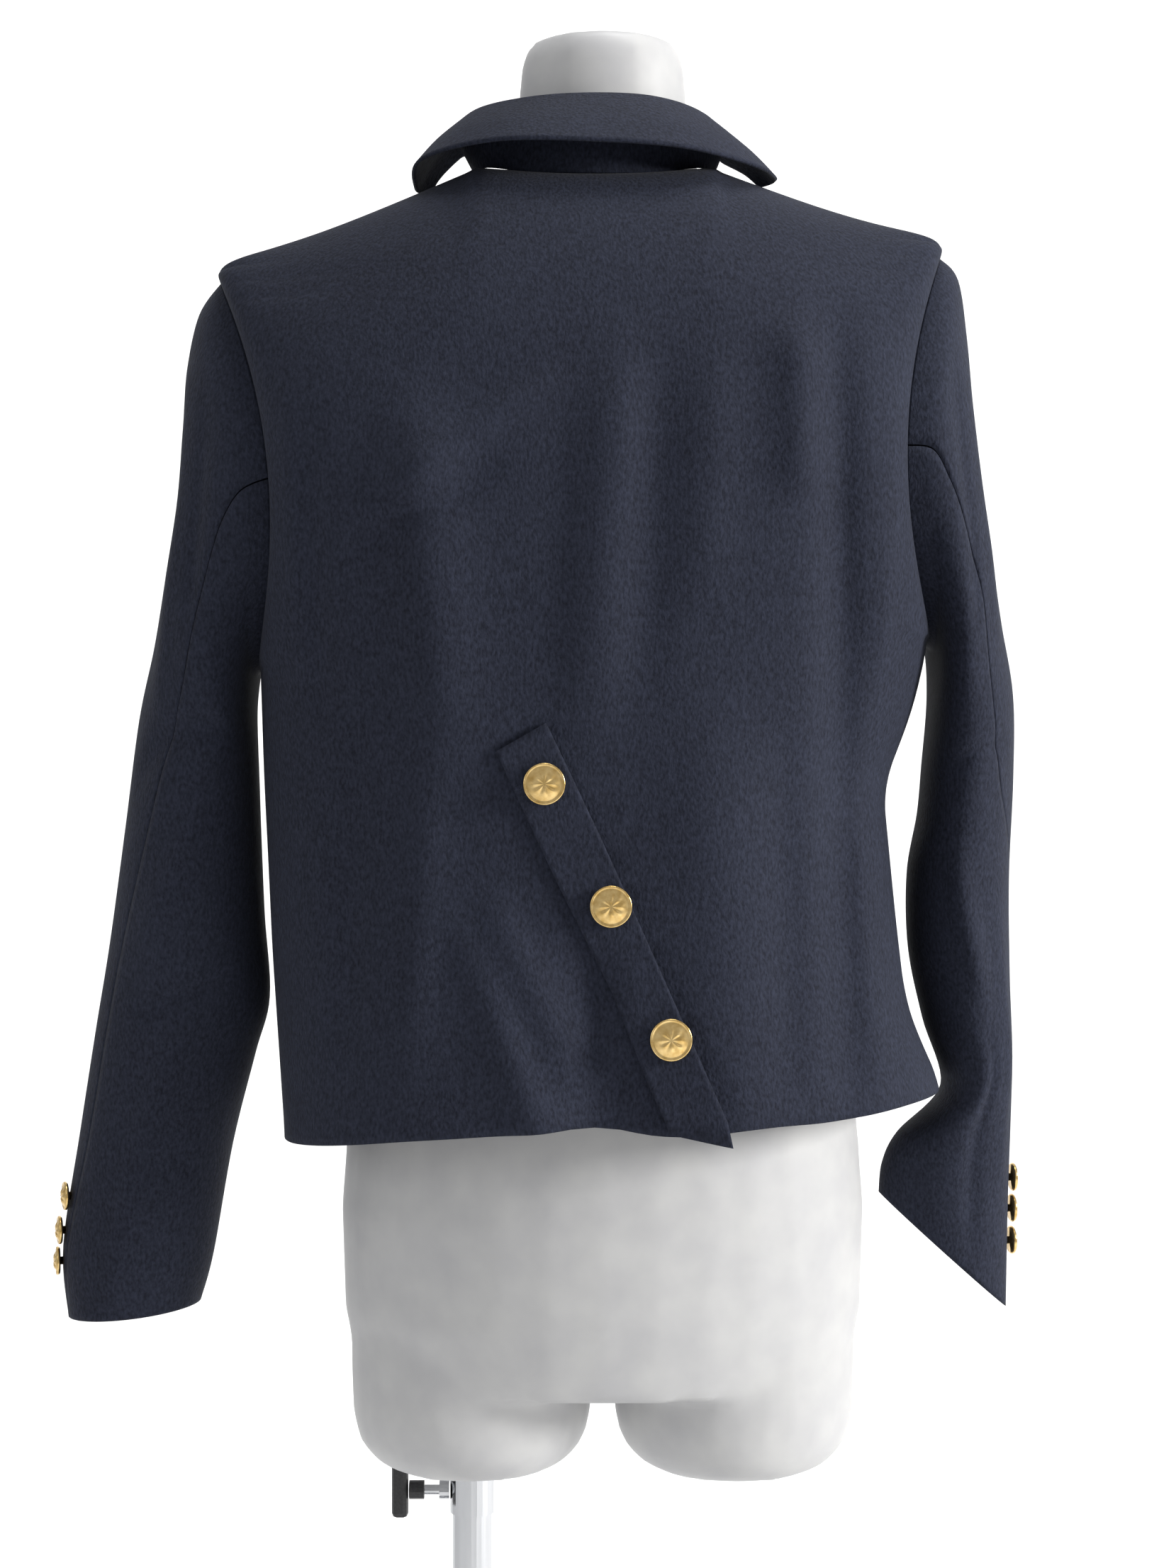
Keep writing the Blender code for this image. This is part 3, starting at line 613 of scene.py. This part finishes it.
def chrome_material():
    made, tree, shader = node_material("chrome_plate", (0.78, 0.79, 0.81), 0.12, 1.0)
    brushed = noise(tree, 90.0, 3.0, (1.0, 1.0, 0.05))
    shine = ramp(tree, brushed.outputs["Fac"], (0.50, 0.51, 0.53), (0.62, 0.63, 0.65))
    tree.links.new(shine.outputs["Color"], shader.inputs["Base Color"])
    return made


def knob_material():
    made, tree, shader = node_material("black_knob", (0.015, 0.015, 0.016), 0.4)
    grain = noise(tree, 800.0, 2.0)
    tint = ramp(tree, grain.outputs["Fac"], (0.01, 0.01, 0.011), (0.024, 0.024, 0.026))
    tree.links.new(tint.outputs["Color"], shader.inputs["Base Color"])
    bump(tree, shader, grain.outputs["Fac"], 0.2, 0.0003)
    return made


def measured(rows):
    """Widest row, longest column and area of a grid of points in mm, in metres."""
    width = max(sum((b - a).length for a, b in zip(row, row[1:])) for row in rows)
    length = 0.0
    for j in range(len(rows[0])):
        length = max(length, sum((b[j] - a[j]).length for a, b in zip(rows, rows[1:])))
    area = 0.0
    for upper, lower in zip(rows, rows[1:]):
        for j in range(len(upper) - 1):
            area += (upper[j + 1] - upper[j]).cross(lower[j] - upper[j]).length / 2
            area += (lower[j + 1] - lower[j]).cross(lower[j + 1] - upper[j + 1]).length / 2
    return round(width * MM, 3), round(length * MM, 3), round(area * MM * MM, 4)


def dress(piece, rows, node):
    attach(piece, "root")
    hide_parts(node)
    width, length, area = measured(rows)
    area = min(area, width * length)


def back_shell(look):
    rows = []
    for i in range(FINE_ROWS + 1):
        w = (i / FINE_ROWS) ** ROW_POWER
        row = []
        for j in range(-FINE_BACK_COLUMNS, FINE_BACK_COLUMNS + 1):
            side = SIDES["right"] if j > 0 else SIDES["left"]
            share = section_share(abs(j) / FINE_BACK_COLUMNS * math.pi / 2)
            point = cloth_point(side, share, w, False)
            hold = (1.0 - share**EDGE_POWER) * smooth(w * CREASE_FADE)
            lift = crease_rise(BACK_CREASES, point.x, point.z) + strap_groove(point.x, point.z)
            point.y -= SEAM + lift * hold
            if abs(j) == FINE_BACK_COLUMNS:
                point.x -= side["sign"] * SEAM
            row.append(point)
        rows.append(row)
    directions = grid_normals(rows, torso_inside)
    directions[0] = [Vector((0, 0, -1)) for _ in rows[0]]
    for j in (0, 2 * FINE_BACK_COLUMNS):
        side = SIDES["left"] if j == 0 else SIDES["right"]
        for i in range(len(rows)):
            directions[i][j] = seam_direction(side, rows[i][j], directions[i][j])
    dress(wall("back_shell", rows, directions, CLOTH, look), rows, "back")


def front_shell(key, look):
    side = SIDES[key]
    rows = []
    for i in range(FINE_ROWS + 1):
        w = (i / FINE_ROWS) ** ROW_POWER
        z = NECK_Z + (FRONT_HEM_Z - NECK_Z) * w
        reach = (roll_line_x(side, z) - MIDDLE_X) / (edge(side, min(z, side["tip_z"]))[0] - MIDDLE_X)
        inner_angle = math.copysign(math.asin(abs(reach) ** (SECTION_POWER / 2)), reach)
        row = []
        for j in range(FINE_FRONT_COLUMNS + 1):
            angle = math.pi / 2 + (inner_angle - math.pi / 2) * j / FINE_FRONT_COLUMNS
            share = section_share(angle)
            point = cloth_point(side, abs(share), w, True)
            if share < 0:
                point.x = 2 * MIDDLE_X - point.x
            hold = (1.0 - abs(share) ** EDGE_POWER) * smooth(w * CREASE_FADE)
            point.y += SEAM + crease_rise(FRONT_CREASES, point.x, point.z) * hold
            if j == 0:
                point.x -= side["sign"] * SEAM
            if key == "left":
                point.y -= UNDERLAP_DEPTH * smooth((point.x - UNDERLAP_X) / UNDERLAP_BLEND)
            row.append(point)
        rows.append(row)
    directions = grid_normals(rows, torso_inside)
    directions[0] = [Vector((0, 0, -1)) for _ in rows[0]]
    for i in range(len(rows)):
        directions[i][0] = seam_direction(side, rows[i][0], directions[i][0])
    name = "front_%s_shell" % key
    dress(wall(name, rows, directions, CLOTH, look), rows, "front_" + key)


def lapel_shell(key, look):
    side = SIDES[key]
    rows = []
    for i in range(49):
        part = i / 48
        z = LAPEL_TOP_Z - LAPEL_LENGTH * part
        width = LAPEL_TIP_WIDTH + LAPEL_SPREAD * (1.0 - part) ** 0.8
        row = []
        for j in range(21):
            across = j / 20
            x = roll_line_x(side, z) + side["sign"] * (3.0 + width * across)
            point = cloth_at(x, z + 8.0 * across, True)
            point.y += LIE_GAP + CLOTH + SEAM + 1.0
            row.append(point)
        rows.append(row)
    piece = wall("lapel_%s_shell" % key, rows, grid_normals(rows, torso_inside), CLOTH, look)
    dress(piece, rows, "lapel_" + key)


def sleeve_shell(key, part_name, table, creases, look):
    sign = SIDES[key]["sign"]
    upper = part_name == "upper"
    rows = []
    directions = []
    segments = 64 if upper else 44
    marks = creases_in_mm(creases)
    for step in range((len(table) - 1) * FINE_RINGS + 1):
        k = step / FINE_RINGS
        ring = smooth_ring(table, k)
        bow = ARMHOLE_BOW * max(0.0, 1.0 - k / 5.0) ** 1.5
        part = math.radians(SLEEVE_SEAM_ANGLE)
        seam = math.radians(ring["seam"])
        front = math.radians(FRONT_SEAM_ANGLE)
        start, end = (seam + part, front - part) if upper else (front + part, seam + 2 * math.pi - part)
        row = []
        line = []
        for j in range(segments + 1):
            angle = start + (end - start) * j / segments
            point, inward = ring_point(ring, angle, bow, sign)
            turn = angle if angle < math.pi else angle - 2 * math.pi
            lift = crease_rise(marks, k * RING_PITCH, turn * RING_PITCH)
            point -= inward * lift * smooth(k / 1.5)
            point.x += sign * SEAM
            row.append(point)
            line.append(inward)
        rows.append(row)
        directions.append(line)
    name = "sleeve_%s_%s" % (key, part_name)
    dress(wall(name + "_shell", rows, directions, CLOTH, look), rows, name)


def creases_in_mm(creases):
    made = []
    for crease in creases:
        start, end = crease["from"], crease["to"]
        made.append(
            {
                "from": (start[0] * RING_PITCH, math.radians(start[1]) * RING_PITCH),
                "to": (end[0] * RING_PITCH, math.radians(end[1]) * RING_PITCH),
                "width": crease["width"],
                "rise": crease["rise"],
            }
        )
    return made


def collar_shell(look):
    stations = []
    for station in COLLAR:
        base, roll, fall = (Vector(station[key]) for key in ("base", "roll", "fall"))
        base.z -= COLLAR_SEAT
        fall.z -= COLLAR_SEAT
        out = fall - roll
        out.z = 0
        out.normalize()
        row = [base, base.lerp(roll, 0.55), roll - out * 4.0 - Vector((0, 0, 5))]
        row += [roll, roll + out * 5.0 - Vector((0, 0, 3))]
        row += [roll.lerp(fall, 0.55) + out * 3.0, fall]
        stations.append(row)
    columns = [curve_through([row[j] for row in stations], 10) for j in range(len(stations[0]))]
    rows = [curve_through([column[i] for column in columns], 5) for i in range(len(columns[0]))]
    directions = []
    for i, row in enumerate(rows):
        line = []
        for j, point in enumerate(row):
            along = rows[min(i + 1, len(rows) - 1)][j] - rows[max(i - 1, 0)][j]
            section = row[min(j + 1, len(row) - 1)] - row[max(j - 1, 0)]
            line.append(section.cross(along).normalized())
        directions.append(line)
    if directions[40][15].z < 0:
        directions = [[-d for d in line] for line in directions]
    dress(wall("collar_shell", rows, directions, COLLAR_CLOTH, look), rows, "collar")


def strap_shell(look):
    rows = []
    for first, second in zip(STRAP, STRAP[1:]):
        for k in range(16):
            share = k / 16
            step = {key: first[key] + (second[key] - first[key]) * share for key in first}
            rows.append(strap_row(step))
    rows.append(strap_row(STRAP[-1]))
    rows.append(strap_row(STRAP_TIP))
    inward = [[Vector((0, 1, 0)) for _ in row] for row in rows]
    dress(wall("vent_strap_shell", rows, inward, CLOTH, look), rows, "vent_strap")


def strap_row(step):
    row = []
    for j in range(17):
        across = j / 16
        x = step["left"] + (step["right"] - step["left"]) * across
        z = step["z_left"] + (step["z_right"] - step["z_left"]) * across
        point = cloth_at(x, z, False)
        point.y -= SEAM + LIE_GAP + CLOTH
        row.append(point)
    return row


def domed_button(name, node, radius, place, axis, look):
    """A domed button with a raised rim and a plain eight-petal rosette in low relief."""
    segments = 64
    bm = bmesh.new()
    aim = Vector(axis).to_track_quat("Z", "Y")
    profile = [(0.0, 0.0, 0.0)]
    profile += [(radius * share, height, 0.0) for share, height in BUTTON_OUTLINE]
    for step in range(1, 17):
        share = 1.0 - step / 16
        petals = math.sin(math.pi * min(1.0, share * 1.1)) ** 2
        height = DOME_BASE + DOME_RISE * (1.0 - share**2)
        profile.append((radius * DOME_SHARE * share, height, PETAL_RELIEF * petals))
    rings = []
    for ring_radius, height, relief in profile:
        ring = []
        for k in range(segments if ring_radius > 0 else 1):
            angle = 2 * math.pi * k / segments
            lift = height + relief * math.cos(4 * angle) ** 2
            local = Vector((ring_radius * math.cos(angle), ring_radius * math.sin(angle), lift))
            ring.append(bm.verts.new((Vector(place) + aim @ local) * MM))
        rings.append(ring)
    for low, high in zip(rings, rings[1:]):
        for k in range(segments):
            after = (k + 1) % segments
            face = []
            near = (low[k % len(low)], low[after % len(low)])
            far = (high[after % len(high)], high[k % len(high)])
            for corner in near + far:
                if corner not in face:
                    face.append(corner)
            bm.faces.new(face)
    piece = finish_mesh(name, bm, look)
    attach(piece, "root")
    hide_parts(node)


def buttonhole(name, x, z, look):
    """A worked buttonhole: a low rounded ridge of thread beside the button."""
    bm = bmesh.new()
    rings = []
    for i in range(13):
        along = -9.0 + 7.0 * i / 12
        middle = cloth_at(x - 8.0 + along, z + along * 0.35, False)
        middle.y -= SEAM + LIE_GAP + CLOTH + 0.1
        swell = max(0.12, math.sin(math.pi * (i + 0.5) / 13) ** 0.4)
        ring = []
        for k in range(10):
            angle = 2 * math.pi * k / 10
            offset = Vector((0.0, -0.55 * math.sin(angle) * swell, 1.3 * math.cos(angle) * swell))
            ring.append(bm.verts.new((middle + offset) * MM))
        rings.append(ring)
    for low, high in zip(rings, rings[1:]):
        for k in range(10):
            after = (k + 1) % 10
            bm.faces.new((low[k], low[after], high[after], high[k]))
    bm.faces.new(rings[0])
    bm.faces.new(rings[-1])
    piece = finish_mesh(name, bm, look)
    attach(piece, "root")


def all_buttons(gilt, thread):
    for number, (x, z) in enumerate(BACK_BUTTONS, 1):
        place = cloth_at(x, z, False)
        place.y -= SEAM + LIE_GAP + CLOTH + BUTTON_STANDOFF
        node = "back_button_%d" % number
        domed_button(node + "_fine", node, BUTTON_RADIUS, place, (0, -1, 0), gilt)
        buttonhole("buttonhole_%d" % number, x, z, thread)
    for number, (x, z) in enumerate(FRONT_BUTTONS, 1):
        place = cloth_at(x, z, True)
        place.y += SEAM + BUTTON_STANDOFF
        node = "front_button_%d" % number
        domed_button(node + "_fine", node, BUTTON_RADIUS, place, (0, 1, 0), gilt)
    for key, table in (("left", LEFT_SLEEVE), ("right", RIGHT_SLEEVE)):
        sign = SIDES[key]["sign"]
        for number, k in enumerate(SLEEVE_BUTTON_STATIONS[key], 1):
            ring = between(table, k)
            point, inward = ring_point(ring, math.radians(ring["seam"] + SLEEVE_BUTTON_ANGLE), 0.0, sign)
            point.x += sign * SEAM
            aim = Vector((-inward.x, -inward.y, 0.0)).normalized()
            node = "sleeve_%s_button_%d" % (key, number)
            place = point + aim * SLEEVE_BUTTON_STANDOFF
            domed_button(node + "_fine", node, SLEEVE_BUTTON_RADIUS, place, aim, gilt)


def form_shell(nodes, look):
    """The form's smooth skin, worked from its solid."""
    made = bpy.data.objects.new("form_shell", nodes["form_torso"].data.copy())
    bpy.context.scene.collection.objects.link(made)
    remesh = made.modifiers.new("remesh", "REMESH")
    remesh.mode = "VOXEL"
    remesh.voxel_size = 0.005
    soften = made.modifiers.new("soften", "SMOOTH")
    soften.factor = 0.5
    soften.iterations = 4
    graph = bpy.context.evaluated_depsgraph_get()
    mesh = bpy.data.meshes.new_from_object(made.evaluated_get(graph))
    made.modifiers.clear()
    made.data = mesh
    mesh.materials.clear()
    mesh.materials.append(look)
    mesh.shade_smooth()
    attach(made, "root")
    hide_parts("form_torso")


def repaint(nodes, look, names):
    for name in names:
        for slot in nodes[name].material_slots:
            slot.material = look


def backdrop():
    """A pale floor that sweeps up into a wall behind the part."""
    bm = bmesh.new()
    profile = [(BACKDROP_NEAR, 0.0), (SWEEP_START, 0.0)]
    for step in range(1, SWEEP_STEPS + 1):
        turn = step * math.pi / (2 * SWEEP_STEPS)
        y = SWEEP_START + SWEEP_RADIUS * math.sin(turn)
        profile.append((y, SWEEP_RADIUS - SWEEP_RADIUS * math.cos(turn)))
    profile.append((SWEEP_START + SWEEP_RADIUS, BACKDROP_TOP))
    edges = (-BACKDROP_HALF_WIDTH, BACKDROP_HALF_WIDTH)
    lines = [[bm.verts.new((x, y, z)) for x in edges] for y, z in profile]
    for low, high in zip(lines, lines[1:]):
        bm.faces.new((low[0], low[1], high[1], high[0]))
    look = node_material("backdrop_white", (0.93, 0.93, 0.93), 0.9)[0]
    finish_mesh("backdrop", bm, look)


def area_light(name, place, target, size, power, colour=(1, 1, 1)):
    light = bpy.data.lights.new(name, "AREA")
    light.size = size
    light.energy = power
    light.color = colour
    made = bpy.data.objects.new(name, light)
    made.location = place
    made.rotation_euler = (Vector(target) - Vector(place)).to_track_quat("-Z", "Y").to_euler()
    bpy.context.scene.collection.objects.link(made)


def lighting():
    world = bpy.data.worlds.new("studio")
    world.use_nodes = True
    world.node_tree.nodes["Background"].inputs["Color"].default_value = (1.0, 1.0, 1.0, 1.0)
    world.node_tree.nodes["Background"].inputs["Strength"].default_value = 0.45
    bpy.context.scene.world = world
    area_light("key", (2.6, -1.0, 1.5), (0, 0, 0.95), 0.7, 95.0, (1.0, 0.99, 0.97))
    area_light("fill", (-2.4, -1.2, 1.5), (0, 0, 0.9), 1.0, 7.0, (0.95, 0.97, 1.0))
    area_light("top", (0.2, -0.2, 2.9), (0, 0, 1.0), 0.8, 22.0)
    area_light("wall", (0.0, 1.2, 2.6), (0, 3.4, 1.2), 2.0, 60.0)


def camera():
    lens = bpy.data.cameras.new("camera")
    lens.sensor_fit = "VERTICAL"
    lens.sensor_height = SENSOR
    lens.lens = SENSOR * FOCAL_PIXELS / FRAME_HEIGHT
    made = bpy.data.objects.new("camera", lens)
    made.location = (CAMERA_X * MM, -CAMERA_DISTANCE * MM, CAMERA_Z * MM)
    made.rotation_euler = (math.pi / 2, 0, 0)
    bpy.context.scene.collection.objects.link(made)
    bpy.context.scene.camera = made


def main():
    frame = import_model()
    nodes = frame["nodes"]
    wool = wool_material()
    form_shell(nodes, form_material())
    back_shell(wool)
    for key in SIDES:
        front_shell(key, wool)
        lapel_shell(key, wool)
        table = LEFT_SLEEVE if key == "left" else RIGHT_SLEEVE
        creases = LEFT_SLEEVE_CREASES if key == "left" else RIGHT_SLEEVE_CREASES
        for part_name in ("upper", "under"):
            sleeve_shell(key, part_name, table, creases, wool)
    collar_shell(wool)
    strap_shell(wool)
    all_buttons(gilt_material(), wool)
    repaint(nodes, chrome_material(), ("stand_base", "stand_pole", "stand_clamp", "stand_screw"))
    repaint(nodes, knob_material(), ("stand_knob", "stand_wing"))
    backdrop()
    lighting()
    camera()
    bpy.context.scene.view_settings.view_transform = "Standard"


main()
